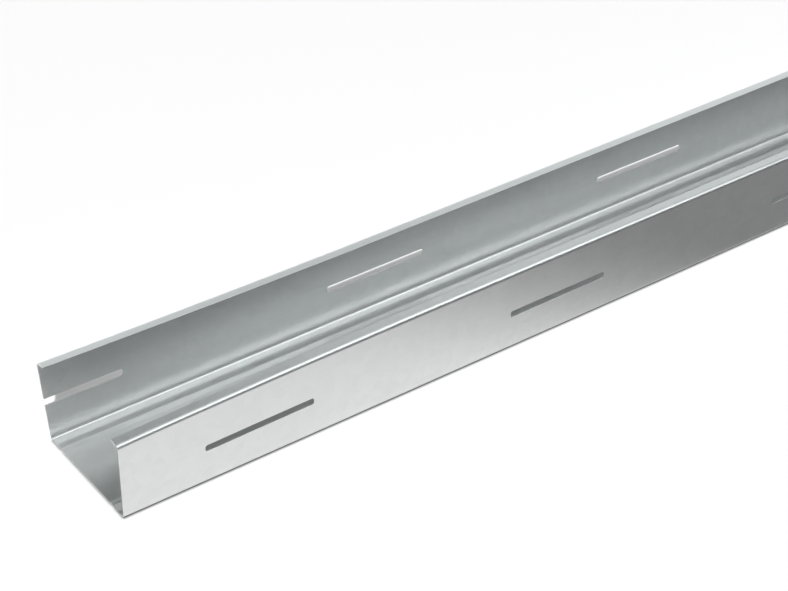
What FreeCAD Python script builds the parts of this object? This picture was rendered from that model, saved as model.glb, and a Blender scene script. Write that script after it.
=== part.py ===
import FreeCAD, Part
import math
import os

# Drywall stud: one roll-formed C section of galvanised strip, lying on its web with the lips up.
# X runs along the stud, Y across the web and Z up. The origin is under the middle of the web,
# on the level that the two foot beads rest on. All sizes are in millimetres.

# Section
LENGTH = 2400.0             # stock length
WEB_WIDTH = 66.0            # over both flanges
FLANGE_HEIGHT = 40.0        # from the foot beads to the top of the lips
LIP_WIDTH = 6.0             # from the flange's outer face to the lip's edge
SHEET = 0.6                 # strip thickness
BEND_RADIUS = 1.4           # inside of the corner and lip bends

# Foot bead and ridge that run along both sides of the web
FOOT_FROM_EDGE = 4.6        # middle of the foot bead, from the flange's outer face
FOOT_FLAT = 1.4             # width of the foot bead's bottom
FOOT_DEPTH = 0.5            # how far the foot bead reaches below the web
RIDGE_FROM_EDGE = 9.8       # crest of the ridge, from the flange's outer face
RIDGE_HEIGHT = 0.5          # how far the ridge rises above the web
RIDGE_RUNOUT = 2.8          # from the crest down to the flat of the web
BEAD_RADIUS = 4.0           # soft bends of the beads, at mid-thickness

# Slots punched in both flanges
SLOT_LENGTH = 54.0
SLOT_HEIGHT = 3.2
SLOT_PITCH = 160.0
LOW_ROW_LEVEL = 18.5        # middle of the -Y flange's slots above the floor
HIGH_ROW_LEVEL = 19.9       # middle of the +Y flange's slots above the floor
SLOT_START = 40.0           # from the stud's -X end to the first slot of the -Y flange
SLOT_STAGGER = 56.0         # the +Y row runs ahead of the -Y row by this

# Springback of the flanges at the two cut ends
END_FLARE = 3.2             # how far a flange's top stands out at the cut
FLARE_RUN = 180.0           # length over which it dies away
FLARE_STEPS = 4             # straight stretches that it falls off in

HALF_WIDTH = WEB_WIDTH / 2
HALF_LENGTH = LENGTH / 2
WEB_LEVEL = FOOT_DEPTH + SHEET / 2
FLANGE_RISE = FLANGE_HEIGHT - SHEET / 2 - WEB_LEVEL


def unit(start, end):
    dy = end[0] - start[0]
    dz = end[1] - start[1]
    size = math.hypot(dy, dz)
    return dy / size, dz / size


def half_corners(flare):
    # Corners of the strip's middle line on the +Y side, from the web out to the lip's edge,
    # each with its bend radius. The flange leans out so that its top moves by the flare.
    lean = math.asin(flare / FLANGE_RISE)
    bend = BEND_RADIUS + SHEET / 2
    lip = LIP_WIDTH - SHEET / 2
    foot = HALF_WIDTH - FOOT_FROM_EDGE
    corner = (HALF_WIDTH - SHEET / 2, WEB_LEVEL)
    top = (corner[0] + FLANGE_RISE * math.sin(lean), corner[1] + FLANGE_RISE * math.cos(lean))
    edge = (top[0] - lip * math.cos(lean), top[1] + lip * math.sin(lean))
    return [
        ((HALF_WIDTH - RIDGE_FROM_EDGE - RIDGE_RUNOUT, WEB_LEVEL), BEAD_RADIUS),
        ((HALF_WIDTH - RIDGE_FROM_EDGE, WEB_LEVEL + RIDGE_HEIGHT), BEAD_RADIUS),
        ((foot - FOOT_FLAT / 2, SHEET / 2), BEAD_RADIUS),
        ((foot + FOOT_FLAT / 2, SHEET / 2), BEAD_RADIUS),
        (corner, bend),
        (top, bend),
        (edge, 0.0),
    ]


def section_corners(flare):
    right = half_corners(flare)
    left = [((-point[0], point[1]), radius) for point, radius in reversed(right)]
    return left + right


def side_edges(corners, offset, x):
    # The strip's middle line moved sideways by the offset, as straight runs and tangent arcs.
    def place(point, direction):
        y = point[0] - direction[1] * offset
        z = point[1] + direction[0] * offset
        return FreeCAD.Vector(x, y, z)

    points = [corner[0] for corner in corners]
    edges = []
    last = place(points[0], unit(points[0], points[1]))
    for index in range(1, len(points) - 1):
        point = points[index]
        radius = corners[index][1]
        before = unit(points[index - 1], point)
        after = unit(point, points[index + 1])
        cross = before[0] * after[1] - before[1] * after[0]
        turn = math.atan2(cross, before[0] * after[0] + before[1] * after[1])
        reach = radius * math.tan(abs(turn) / 2)
        side = math.copysign(1.0, turn)
        enter = (point[0] - before[0] * reach, point[1] - before[1] * reach)
        leave = (point[0] + after[0] * reach, point[1] + after[1] * reach)
        centre = (enter[0] - before[1] * side * radius, enter[1] + before[0] * side * radius)
        middle_way = unit((0.0, 0.0), (before[0] + after[0], before[1] + after[1]))
        middle = (centre[0] + middle_way[1] * side * radius, centre[1] - middle_way[0] * side * radius)
        arc_start = place(enter, before)
        arc_end = place(leave, after)
        edges.append(Part.LineSegment(last, arc_start).toShape())
        edges.append(Part.Arc(arc_start, place(middle, middle_way), arc_end).toShape())
        last = arc_end
    edges.append(Part.LineSegment(last, place(points[-1], unit(points[-2], points[-1]))).toShape())
    return edges


def section_wire(flare, x):
    corners = section_corners(flare)
    inner = side_edges(corners, SHEET / 2, x)
    outer = side_edges(corners, -SHEET / 2, x)
    start_cap = Part.LineSegment(outer[0].firstVertex().Point, inner[0].firstVertex().Point).toShape()
    end_cap = Part.LineSegment(inner[-1].lastVertex().Point, outer[-1].lastVertex().Point).toShape()
    return Part.Wire([start_cap] + inner + [end_cap] + outer[::-1])


def flare_at(distance):
    # Flare at a distance from the cut end: it falls off as a parabola.
    return END_FLARE * (1 - distance / FLARE_RUN) ** 2


def straight_middle():
    wire = section_wire(0.0, FLARE_RUN - HALF_LENGTH)
    return Part.Face(wire).extrude(FreeCAD.Vector(LENGTH - 2 * FLARE_RUN, 0, 0))


def flared_end(side):
    distances = [FLARE_RUN * step / FLARE_STEPS for step in range(FLARE_STEPS + 1)]
    wires = [section_wire(flare_at(distance), side * (HALF_LENGTH - distance)) for distance in distances]
    return Part.makeLoft(wires, True, True)


def slot_cutter(start, side, level):
    # Round-ended punch that passes through one flange, flared or not.
    radius = SLOT_HEIGHT / 2
    inside = HALF_WIDTH - SHEET - SLOT_HEIGHT
    depth = SHEET + END_FLARE + 2 * SLOT_HEIGHT
    left = FreeCAD.Vector(start + radius, side * inside, level)
    right = left + FreeCAD.Vector(SLOT_LENGTH - SLOT_HEIGHT, 0, 0)
    up = FreeCAD.Vector(0, 0, radius)
    out = FreeCAD.Vector(radius, 0, 0)
    outline = Part.Wire([
        Part.LineSegment(left + up, right + up).toShape(),
        Part.Arc(right + up, right + out, right - up).toShape(),
        Part.LineSegment(right - up, left - up).toShape(),
        Part.Arc(left - up, left - out, left + up).toShape(),
    ])
    return Part.Face(outline).extrude(FreeCAD.Vector(0, side * depth, 0))


def slot_row(first, side, level):
    start = first - SLOT_PITCH * math.ceil((first + SLOT_LENGTH) / SLOT_PITCH)
    cutters = []
    while start < LENGTH:
        if start + SLOT_LENGTH > 0:
            cutters.append(slot_cutter(start - HALF_LENGTH, side, level))
        start += SLOT_PITCH
    return cutters


def make_stud():
    ends = [flared_end(-1), flared_end(1)]
    body = straight_middle().fuse(ends).removeSplitter()
    low_row = slot_row(SLOT_START, -1, LOW_ROW_LEVEL)
    high_row = slot_row(SLOT_START - SLOT_STAGGER, 1, HIGH_ROW_LEVEL)
    return body.cut(low_row + high_row)


os.makedirs("parts", exist_ok=True)
stud = make_stud().Solids[0]
stud.exportStep("parts/stud.step")
print("stud volume cm3", round(stud.Volume / 1000, 2), "valid", stud.isValid(), "faces", len(stud.Faces))
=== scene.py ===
import bmesh
import bpy
import math
from mathutils import Matrix, Vector, noise


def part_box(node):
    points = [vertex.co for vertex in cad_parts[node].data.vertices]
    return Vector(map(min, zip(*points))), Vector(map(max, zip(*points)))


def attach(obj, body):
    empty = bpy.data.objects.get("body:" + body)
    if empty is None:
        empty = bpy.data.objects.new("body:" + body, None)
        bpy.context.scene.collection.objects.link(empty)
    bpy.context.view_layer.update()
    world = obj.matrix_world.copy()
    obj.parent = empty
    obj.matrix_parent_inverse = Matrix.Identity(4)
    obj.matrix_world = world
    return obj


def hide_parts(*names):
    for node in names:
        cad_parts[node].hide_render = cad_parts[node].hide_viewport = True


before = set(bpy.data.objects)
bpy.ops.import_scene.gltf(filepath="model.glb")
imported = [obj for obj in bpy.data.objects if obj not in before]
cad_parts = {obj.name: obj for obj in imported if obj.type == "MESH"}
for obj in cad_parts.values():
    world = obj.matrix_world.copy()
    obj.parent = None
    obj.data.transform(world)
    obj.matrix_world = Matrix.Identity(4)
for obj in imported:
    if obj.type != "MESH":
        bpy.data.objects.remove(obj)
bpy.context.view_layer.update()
studLow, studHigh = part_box("stud")


def newMaterial(name):
    material = bpy.data.materials.new(name)
    material.use_nodes = True
    material.node_tree.nodes.clear()
    return material, material.node_tree.nodes, material.node_tree.links


def mathNode(nodes, links, operation, first, second):
    node = nodes.new("ShaderNodeMath")
    node.operation = operation
    for index, value in enumerate((first, second)):
        if isinstance(value, (int, float)):
            node.inputs[index].default_value = value
        else:
            links.new(value, node.inputs[index])
    return node.outputs[0]


# The rolled strip, in metres: the same section, slots and flare as the CAD solid, with round bends
strip = {
    "length": studHigh.x - studLow.x,
    "web": 0.066,
    "height": 0.040,
    "lip": 0.006,
    "thick": 0.0006,
    "bend": 0.0014,            # inside radius of the corner and lip bends
    "bendSegments": 8,
    "footFromEdge": 0.0046,
    "footFlat": 0.0014,
    "footDepth": 0.0005,
    "ridgeFromEdge": 0.0098,
    "ridgeHeight": 0.0005,
    "ridgeRunout": 0.0028,
    "beadRadius": 0.004,
    "beadSegments": 4,
    "beadTurn": 1.0,           # folds that turn by less than this, in radians, are beads
    "flare": 0.0032,           # how far the flanges spring out at the cut ends
    "flareRun": 0.180,
    "loopStep": 0.020,         # distance between the loops along the stud
    "webLoops": (0.005, 0.011, 0.016),
    "flangeLoops": (0.008, 0.013, 0.026, 0.032),
    "edgeRound": 0.00012,      # rounding of the cut edges
    "edgeSegments": 3,
    "edgeAngle": 50,           # edges sharper than this, in degrees, are rounded
}
slots = {
    "length": 0.054,
    "height": 0.0032,
    "pitch": 0.160,
    "start": 0.040,            # first slot of the -Y flange, from the -X end
    "stagger": 0.056,          # the +Y row runs ahead by this
    "level": {-1: 0.0185, 1: 0.0199},
    "roundness": 0.32,         # corner radius, as a share of the slot's height
    "cornerSegments": 3,
    "clear": 1.2,              # slot heights from a slot's end to the next plain loop
    "waste": 0.4,              # share of the half height in which a face is surely waste
}
waves = {
    "web": 0.00010,            # how far the flat of the web wanders
    "flange": 0.00012,
    "along": 9.0,              # waves per metre
    "across": 30.0,
    "fade": 0.008,             # the waves fade in over this distance from the bends
    "bottom": 0.004,           # flange level at which they begin
    "top": 0.002,              # and how far below the lip they end
}
same = 1e-5                    # places closer than this are the same place
exact = 1e-7                   # and here nothing has moved them apart yet
webLevel = strip["footDepth"] + strip["thick"] / 2
cornerY = strip["web"] / 2 - strip["thick"] / 2
lipEdge = strip["web"] / 2 - strip["lip"]
topZ = strip["height"] - strip["thick"] / 2


def halfSection():
    # mid-line corners of the +Y half, from the web out to the lip's edge, each with its bend radius
    half = strip["web"] / 2
    ridge = half - strip["ridgeFromEdge"]
    foot = half - strip["footFromEdge"]
    flat = strip["footFlat"] / 2
    bend = strip["bend"] + strip["thick"] / 2
    return [
        (ridge - strip["ridgeRunout"], webLevel, strip["beadRadius"]),
        (ridge, webLevel + strip["ridgeHeight"], strip["beadRadius"]),
        (foot - flat, strip["thick"] / 2, strip["beadRadius"]),
        (foot + flat, strip["thick"] / 2, strip["beadRadius"]),
        (cornerY, webLevel, bend),
        (cornerY, topZ, bend),
        (lipEdge, topZ, 0.0),
    ]


def foldedStrip(bm):
    right = halfSection()
    corners = [(-y, z, radius) for y, z, radius in reversed(right)] + right
    start = [bm.verts.new((studLow.x, y, z)) for y, z, radius in corners]
    chain = [bm.edges.new(pair) for pair in zip(start, start[1:])]
    made = bmesh.ops.extrude_edge_only(bm, edges=chain)["geom"]
    end = [item for item in made if isinstance(item, bmesh.types.BMVert)]
    bmesh.ops.translate(bm, verts=end, vec=(strip["length"], 0, 0))
    return corners


def bendFolds(bm, corners):
    for index in range(1, len(corners) - 1):
        y, z, radius = corners[index]
        before = Vector(corners[index][:2]) - Vector(corners[index - 1][:2])
        after = Vector(corners[index + 1][:2]) - Vector(corners[index][:2])
        turn = before.angle(after)
        fold = [edge for edge in bm.edges
                if all(math.isclose(vert.co.y, y, abs_tol=exact) and math.isclose(vert.co.z, z, abs_tol=exact)
                       for vert in edge.verts)]
        segments = strip["beadSegments"] if turn < strip["beadTurn"] else strip["bendSegments"]
        bmesh.ops.bevel(bm, geom=fold, offset=radius * math.tan(turn / 2), offset_type="OFFSET",
                        segments=segments, profile=0.5, affect="EDGES", material=-1)


def cutLoop(bm, place, normal, faces):
    parts = set(faces)
    for face in faces:
        parts.update(face.edges)
        parts.update(face.verts)
    bmesh.ops.bisect_plane(bm, geom=list(parts), plane_co=place, plane_no=normal, dist=exact)


def flangeFaces(bm, side):
    upright = 0.999            # how closely the normal of a flange's flat face keeps to Y
    return [face for face in bm.faces
            if side * face.calc_center_median().y > cornerY - same and abs(face.normal.y) > upright]


def slotStarts(side):
    first = slots["start"] - (slots["stagger"] if side > 0 else 0.0)
    count = math.ceil((strip["length"] - first) / slots["pitch"])
    return [studLow.x + (first + slots["pitch"] * index) for index in range(count)]


def lengthwiseLoops(bm):
    for y in strip["webLoops"]:
        for side in (-1, 1):
            cutLoop(bm, (0, side * y, 0), (0, 1, 0), bm.faces[:])
    for side in (-1, 1):
        level = slots["level"][side]
        rows = list(strip["flangeLoops"]) + [level - slots["height"] / 2, level + slots["height"] / 2]
        for z in rows:
            cutLoop(bm, (0, 0, z), (0, 0, 1), flangeFaces(bm, side))


def crosswiseLoops(bm):
    # loops at the slots' ends, and evenly between them where no slot's end is near
    ends = set()
    for side in (-1, 1):
        for start in slotStarts(side):
            ends.update((round(start, 6), round(start + slots["length"], 6)))
    ends = [x for x in ends if studLow.x + same < x < studHigh.x - same]
    clear = slots["clear"] * slots["height"]
    steps = int(strip["length"] / strip["loopStep"])
    for index in range(1, steps):
        x = studLow.x + index * strip["loopStep"]
        if all(abs(x - other) > clear for other in ends):
            ends.append(x)
    for x in sorted(ends):
        cutLoop(bm, (x, 0, 0), (1, 0, 0), bm.faces[:])


def punchSlots(bm, side):
    # the four corners of each slot are rounded first, and then the waste inside falls out
    level = slots["level"][side]
    half = slots["height"] / 2
    starts = slotStarts(side)
    ends = starts + [start + slots["length"] for start in starts]
    corners = []
    for vert in bm.verts:
        if side * vert.co.y < cornerY - same or len(vert.link_edges) != 4:
            continue
        onRow = math.isclose(abs(vert.co.z - level), half, abs_tol=same)
        if onRow and any(abs(vert.co.x - end) < same for end in ends):
            corners.append(vert)
    bmesh.ops.bevel(bm, geom=corners, offset=slots["height"] * slots["roundness"], offset_type="OFFSET",
                    segments=slots["cornerSegments"], profile=0.5, affect="VERTICES", material=-1)
    inside = half * slots["waste"]
    waste = []
    for face in bm.faces:
        middle = face.calc_center_median()
        if side * middle.y > cornerY - same and abs(middle.z - level) < inside:
            if any(start + inside < middle.x < start + slots["length"] - inside for start in starts):
                waste.append(face)
    bmesh.ops.delete(bm, geom=waste, context="FACES")


def flareEnds(bm):
    # springback: towards the cut ends each flange leans out about its corner
    lean = math.asin(strip["flare"] / (topZ - webLevel))
    for vert in bm.verts:
        fromEnd = min(vert.co.x - studLow.x, studHigh.x - vert.co.x)
        if fromEnd > strip["flareRun"] or abs(vert.co.y) < lipEdge - same:
            continue
        share = min(max((vert.co.z - webLevel) / strip["bend"] / 2, 0.0), 1.0)
        if share == 0.0:
            continue
        side = math.copysign(1.0, vert.co.y)
        angle = lean * (1 - fromEnd / strip["flareRun"]) ** 2 * share
        centre = Vector((vert.co.x, side * cornerY, webLevel))
        vert.co = centre + Matrix.Rotation(-side * angle, 3, "X") @ (vert.co - centre)


def waveSheet(bm):
    # the flats of rolled strip are never quite flat
    ridgeStart = strip["web"] / 2 - strip["ridgeFromEdge"] - strip["ridgeRunout"]
    for vert in bm.verts:
        place = Vector((vert.co.x * waves["along"], vert.co.y * waves["across"], vert.co.z * waves["across"]))
        offset = noise.noise(place, noise_basis="PERLIN_NEW")
        if abs(vert.co.y) < ridgeStart:
            share = min((ridgeStart - abs(vert.co.y)) / waves["fade"], 1.0)
            vert.co.z += waves["web"] * offset * share
        elif vert.co.z > waves["bottom"] and abs(vert.co.y) > cornerY - same:
            fromBottom = vert.co.z - waves["bottom"]
            fromTop = topZ - waves["top"] - vert.co.z
            share = max(min(fromBottom / waves["fade"], fromTop / waves["fade"], 1.0), 0.0)
            vert.co.y -= math.copysign(waves["flange"] * abs(offset) * share, vert.co.y)


def makeSheet():
    bm = bmesh.new()
    corners = foldedStrip(bm)
    bendFolds(bm, corners)
    lengthwiseLoops(bm)
    crosswiseLoops(bm)
    for side in (-1, 1):
        punchSlots(bm, side)
    flareEnds(bm)
    waveSheet(bm)
    bmesh.ops.recalc_face_normals(bm, faces=bm.faces[:])
    mesh = bpy.data.meshes.new("studSheet")
    bm.to_mesh(mesh)
    bm.free()
    mesh.polygons.foreach_set("use_smooth", [True] * len(mesh.polygons))
    sheet = bpy.data.objects.new("studSheet", mesh)
    bpy.context.scene.collection.objects.link(sheet)

    wall = sheet.modifiers.new("thickness", "SOLIDIFY")
    wall.thickness = strip["thick"]
    wall.offset = 0.0
    wall.use_even_offset = True
    wall.material_offset_rim = 1       # the cut edges show bare steel
    edges = sheet.modifiers.new("edges", "BEVEL")
    edges.width = strip["edgeRound"]
    edges.segments = strip["edgeSegments"]
    edges.limit_method = "ANGLE"
    edges.angle_limit = math.radians(strip["edgeAngle"])
    flats = sheet.modifiers.new("flats", "WEIGHTED_NORMAL")
    flats.keep_sharp = True
    return sheet


# Galvanised sheet: zinc spangle, rolling streaks along the stud and a satin sheen
zinc = {
    "dark": (0.635, 0.643, 0.642, 1.0),
    "light": (0.762, 0.772, 0.771, 1.0),
    "spangle": 220.0,          # cells per metre
    "spangleShare": 0.25,      # each pattern's share in the colour and the roughness
    "clouds": 60.0,
    "cloudsDetail": 5.0,
    "cloudsShare": 0.5,
    "streaks": 900.0,          # across the stud, per metre
    "streaksDetail": 4.0,
    "streaksShare": 0.25,
    "stretch": 0.02,           # the streaks are this much sparser along the stud
    "roughLow": 0.35,
    "roughHigh": 0.47,
    "bump": 0.06,
    "bumpDepth": 0.0002,
}
# Bare steel where the strip was sheared or punched, with the fine marks of the blade
cutSteel = {
    "dark": (0.46, 0.46, 0.45, 1.0),
    "light": (0.68, 0.68, 0.67, 1.0),
    "marks": 2500.0,           # per metre along the cut
    "marksDetail": 3.0,
    "roughLow": 0.38,
    "roughHigh": 0.52,
}


def newMetal(name):
    material, nodes, links = newMaterial(name)
    output = nodes.new("ShaderNodeOutputMaterial")
    shader = nodes.new("ShaderNodeBsdfPrincipled")
    shader.inputs["Metallic"].default_value = 1.0
    links.new(shader.outputs["BSDF"], output.inputs["Surface"])
    return material, nodes, links, shader


def noiseNode(nodes, links, place, scale, detail):
    pattern = nodes.new("ShaderNodeTexNoise")
    pattern.inputs["Scale"].default_value = scale
    pattern.inputs["Detail"].default_value = detail
    links.new(place, pattern.inputs["Vector"])
    return pattern.outputs["Fac"]


def colourAndRoughness(nodes, links, shader, pattern, finish):
    # where the pattern is high, the metal is lighter and rougher
    colour = nodes.new("ShaderNodeMix")
    colour.data_type = "RGBA"
    colour.inputs["A"].default_value = finish["dark"]
    colour.inputs["B"].default_value = finish["light"]
    links.new(pattern, colour.inputs["Factor"])
    links.new(colour.outputs["Result"], shader.inputs["Base Color"])
    rough = nodes.new("ShaderNodeMapRange")
    rough.inputs["To Min"].default_value = finish["roughLow"]
    rough.inputs["To Max"].default_value = finish["roughHigh"]
    links.new(pattern, rough.inputs["Value"])
    links.new(rough.outputs["Result"], shader.inputs["Roughness"])


def galvanisedSheet():
    material, nodes, links, shader = newMetal("galvanisedSheet")
    place = nodes.new("ShaderNodeTexCoord").outputs["Object"]

    spangle = nodes.new("ShaderNodeTexVoronoi")
    spangle.inputs["Scale"].default_value = zinc["spangle"]
    links.new(place, spangle.inputs["Vector"])
    cell = nodes.new("ShaderNodeSeparateColor")
    links.new(spangle.outputs["Color"], cell.inputs["Color"])

    along = nodes.new("ShaderNodeMapping")
    along.inputs["Scale"].default_value = (zinc["stretch"], 1.0, 1.0)
    links.new(place, along.inputs["Vector"])
    streaks = noiseNode(nodes, links, along.outputs["Vector"], zinc["streaks"], zinc["streaksDetail"])
    clouds = noiseNode(nodes, links, place, zinc["clouds"], zinc["cloudsDetail"])

    mixed = mathNode(nodes, links, "ADD",
                     mathNode(nodes, links, "MULTIPLY", cell.outputs[0], zinc["spangleShare"]),
                     mathNode(nodes, links, "MULTIPLY", clouds, zinc["cloudsShare"]))
    mixed = mathNode(nodes, links, "ADD", mixed,
                     mathNode(nodes, links, "MULTIPLY", streaks, zinc["streaksShare"]))
    colourAndRoughness(nodes, links, shader, mixed, zinc)

    bump = nodes.new("ShaderNodeBump")
    bump.inputs["Strength"].default_value = zinc["bump"]
    bump.inputs["Distance"].default_value = zinc["bumpDepth"]
    links.new(streaks, bump.inputs["Height"])
    links.new(bump.outputs["Normal"], shader.inputs["Normal"])
    return material


def cutEdge():
    material, nodes, links, shader = newMetal("cutEdge")
    place = nodes.new("ShaderNodeTexCoord").outputs["Object"]
    marks = noiseNode(nodes, links, place, cutSteel["marks"], cutSteel["marksDetail"])
    colourAndRoughness(nodes, links, shader, marks, cutSteel)
    return material


studSheet = makeSheet()
studSheet.data.materials.append(galvanisedSheet())
studSheet.data.materials.append(cutEdge())
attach(studSheet, "root")
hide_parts("stud")
print("studSheet: rolled strip with", len(studSheet.data.polygons), "faces")

# Pale floor, which the camera and the metal see as white paper with the stud's soft shadow from the lamps on
# it, and a painted contact shade from ambient occlusion where the stud meets it
stage = {
    "floorSize": 24.0,
    "paper": (0.9, 0.9, 0.9, 1.0),
    "glow": 0.17,              # share of plain white that camera and mirror rays see
    "paintedContactShade": 0.0013,         # width of the painted contact shade: ambient occlusion darkens the paper where the stud meets it
}


def seenDirectly(nodes, links):
    # 1 for camera, mirror and transmission rays, 0 for the rays that light the stud
    path = nodes.new("ShaderNodeLightPath")
    seen = mathNode(nodes, links, "MAXIMUM", path.outputs["Is Camera Ray"], path.outputs["Is Glossy Ray"])
    return mathNode(nodes, links, "MAXIMUM", seen, path.outputs["Is Transmission Ray"])


def whitePaper():
    material, nodes, links = newMaterial("whitePaper")
    output = nodes.new("ShaderNodeOutputMaterial")
    # painted shade: ambient occlusion darkens the paper's colour and its glow near the stud
    paintedContactShade = nodes.new("ShaderNodeAmbientOcclusion")
    paintedContactShade.inputs["Distance"].default_value = stage["paintedContactShade"]
    paintedContactShade.inputs["Color"].default_value = stage["paper"]
    diffuse = nodes.new("ShaderNodeBsdfDiffuse")
    links.new(paintedContactShade.outputs["Color"], diffuse.inputs["Color"])
    glow = nodes.new("ShaderNodeEmission")
    links.new(paintedContactShade.outputs["AO"], glow.inputs["Strength"])
    glowShare = mathNode(nodes, links, "MULTIPLY", seenDirectly(nodes, links), stage["glow"])
    mix = nodes.new("ShaderNodeMixShader")
    links.new(glowShare, mix.inputs["Fac"])
    links.new(diffuse.outputs["BSDF"], mix.inputs[1])
    links.new(glow.outputs["Emission"], mix.inputs[2])
    links.new(mix.outputs["Shader"], output.inputs["Surface"])
    return material


bpy.ops.mesh.primitive_plane_add(size=stage["floorSize"], location=(0, 0, 0))
floor = bpy.context.object
floor.name = "floor"
floor.data.materials.append(whitePaper())

# Black flag on the floor in front of the stud, which only the metal sees. Its edge is soft and slants
# away from the stud: places are in metres from the stud's near corner.
flag = {
    "start": 0.159,            # where it begins to darken along the stud
    "run": 0.197,              # how far it takes to get dark
    "slant": 1.11,             # it begins this much earlier for each metre away from the stud
    "opacity": 0.72,
    "cloth": (0.02, 0.02, 0.02, 1.0),
    "reach": 1.2,              # how far it goes away from the stud and past its far end
    "clear": 0.0002,           # height above the floor
    "gap": 0.0005,             # between the flag and the wall
}


def flagCloth():
    material, nodes, links = newMaterial("flagCloth")
    output = nodes.new("ShaderNodeOutputMaterial")
    place = nodes.new("ShaderNodeTexCoord")
    split = nodes.new("ShaderNodeSeparateXYZ")
    links.new(place.outputs["Object"], split.inputs["Vector"])
    along = mathNode(nodes, links, "SUBTRACT", split.outputs["X"], studLow.x + flag["start"])
    away = mathNode(nodes, links, "MULTIPLY",
                    mathNode(nodes, links, "SUBTRACT", -strip["web"] / 2, split.outputs["Y"]), flag["slant"])
    fade = nodes.new("ShaderNodeMapRange")
    fade.interpolation_type = "SMOOTHSTEP"
    fade.inputs["From Max"].default_value = flag["run"]
    fade.inputs["To Max"].default_value = flag["opacity"]
    links.new(mathNode(nodes, links, "ADD", along, away), fade.inputs["Value"])
    clear = nodes.new("ShaderNodeBsdfTransparent")
    black = nodes.new("ShaderNodeBsdfDiffuse")
    black.inputs["Color"].default_value = flag["cloth"]
    mix = nodes.new("ShaderNodeMixShader")
    links.new(fade.outputs["Result"], mix.inputs["Fac"])
    links.new(clear.outputs["BSDF"], mix.inputs[1])
    links.new(black.outputs["BSDF"], mix.inputs[2])
    links.new(mix.outputs["Shader"], output.inputs["Surface"])
    return material


def makeFlag():
    bm = bmesh.new()
    bmesh.ops.create_grid(bm, x_segments=1, y_segments=1, size=0.5)
    bmesh.ops.scale(bm, verts=bm.verts[:], vec=(strip["length"] + flag["reach"], flag["reach"], 1.0))
    middleY = -(strip["web"] + flag["reach"]) / 2 - flag["gap"]
    bmesh.ops.translate(bm, verts=bm.verts[:], vec=(flag["reach"] / 2, middleY, flag["clear"]))
    mesh = bpy.data.meshes.new("flag")
    bm.to_mesh(mesh)
    bm.free()
    piece = bpy.data.objects.new("flag", mesh)
    bpy.context.scene.collection.objects.link(piece)
    mesh.materials.append(flagCloth())
    piece.visible_camera = False
    piece.visible_diffuse = False
    piece.visible_shadow = False
    piece.visible_transmission = False


makeFlag()
print("stage: white floor and black flag")

# Lamps: softboxes around the near end of the stud. Azimuth is measured from +X towards +Y.
lamps = {
    "aim": (studLow.x + 0.2, 0.0, 0.0),
    "distance": 6.0,
    "boxes": {
        "keyLamp": {"azimuth": 305, "elevation": 53, "width": 4.6, "height": 2.1, "radiance": 3.9},
        "overLamp": {"azimuth": 14, "elevation": 62, "width": 3.8, "height": 2.0, "radiance": 1.9},
        "backLamp": {"azimuth": 112, "elevation": 17, "width": 6.0, "height": 3.6, "radiance": 2.4},
        "sideLamp": {"azimuth": 53, "elevation": 20, "width": 5.4, "height": 2.8, "radiance": 1.5},
        "paperLamp": {"azimuth": 236, "elevation": 51.25, "width": 0.33, "height": 0.33, "radiance": 6600.0,
                      "distance": 14.0},
        "topLamp": {"azimuth": 270, "elevation": 88, "width": 5.0, "height": 5.0, "radiance": 0.75},
    },
    "unmirrored": ("paperLamp", "topLamp"),    # these light the paper and cast the shadow
    "mirroredOnly": ("keyLamp", "overLamp", "backLamp", "sideLamp"),    # bright cloths for the metal
    "room": 0.07,              # what the metal sees of the dim studio around
    "cool": (0.955, 1.0, 1.0),     # colour of the light that the metal mirrors
}


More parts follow.
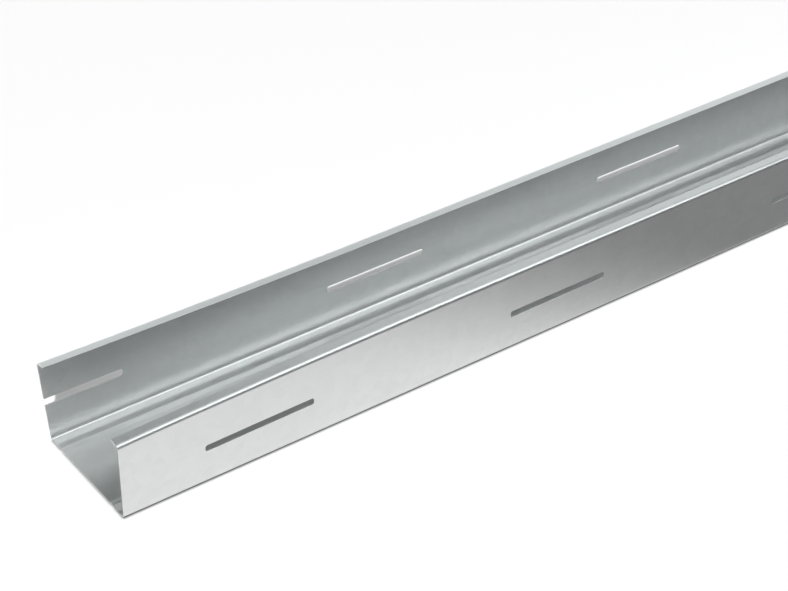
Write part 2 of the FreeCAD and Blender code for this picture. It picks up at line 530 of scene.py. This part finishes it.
def softbox(name, box):
    light = bpy.data.lights.new(name, "AREA")
    light.shape = "RECTANGLE"
    light.size = box["width"]
    light.size_y = box["height"]
    light.energy = math.pi * box["width"] * box["height"] * box["radiance"]
    lamp = bpy.data.objects.new(name, light)
    bpy.context.scene.collection.objects.link(lamp)
    azimuth = math.radians(box["azimuth"])
    elevation = math.radians(box["elevation"])
    out = Vector((math.cos(elevation) * math.cos(azimuth), math.cos(elevation) * math.sin(azimuth),
                  math.sin(elevation)))
    lamp.location = Vector(lamps["aim"]) + out * box.get("distance", lamps["distance"])
    lamp.rotation_euler = out.to_track_quat("Z", "Y").to_euler()
    if name in lamps["mirroredOnly"]:
        light.color = lamps["cool"]
    lamp.visible_camera = False
    lamp.visible_glossy = name not in lamps["unmirrored"]
    lamp.visible_diffuse = name not in lamps["mirroredOnly"]


def dimRoom():
    # white where the camera sees it, and dim for the metal
    world = bpy.data.worlds.new("world")
    bpy.context.scene.world = world
    world.use_nodes = True
    nodes = world.node_tree.nodes
    path = nodes.new("ShaderNodeLightPath")
    level = nodes.new("ShaderNodeMapRange")
    level.inputs["To Min"].default_value = lamps["room"]
    level.inputs["To Max"].default_value = 1.0
    world.node_tree.links.new(path.outputs["Is Camera Ray"], level.inputs["Value"])
    world.node_tree.links.new(level.outputs["Result"], nodes["Background"].inputs["Strength"])
    nodes["Background"].inputs["Color"].default_value = (1.0, 1.0, 1.0, 1.0)


for lampName, lampBox in lamps["boxes"].items():
    softbox(lampName, lampBox)
dimRoom()
print("light:", len(lamps["boxes"]), "softboxes and a dim room")

# Camera
camera = {
    "focalPixels": 2038.99,
    "imageWidth": 788.0,
    "sensor": 36.0,
    "clipStart": 0.01,
    "clipEnd": 50.0,
    "place": (-262.21, -599.39, 542.96),    # millimetres from the stud's near corner
    "corner": (-1200.0, -33.0, 0.0),        # that corner, in millimetres
    "right": (0.820568, -0.57078, -0.029637),
    "down": (-0.3406, -0.446698, -0.827317),
    "forward": (0.458977, 0.688964, -0.560953),
}


def makeCamera():
    data = bpy.data.cameras.new("camera")
    data.sensor_width = camera["sensor"]
    data.lens = camera["focalPixels"] / camera["imageWidth"] * data.sensor_width
    data.clip_start = camera["clipStart"]
    data.clip_end = camera["clipEnd"]
    right = Vector(camera["right"])
    up = -Vector(camera["down"])
    back = -Vector(camera["forward"])
    turn = Matrix((right, up, back)).transposed().to_4x4()
    place = (Vector(camera["place"]) + Vector(camera["corner"])) / 1000
    cameraObject = bpy.data.objects.new("camera", data)
    cameraObject.matrix_world = Matrix.Translation(place) @ turn
    bpy.context.scene.collection.objects.link(cameraObject)
    bpy.context.scene.camera = cameraObject


makeCamera()
bpy.context.scene.view_settings.view_transform = "Standard"
print("camera: as in the photograph")
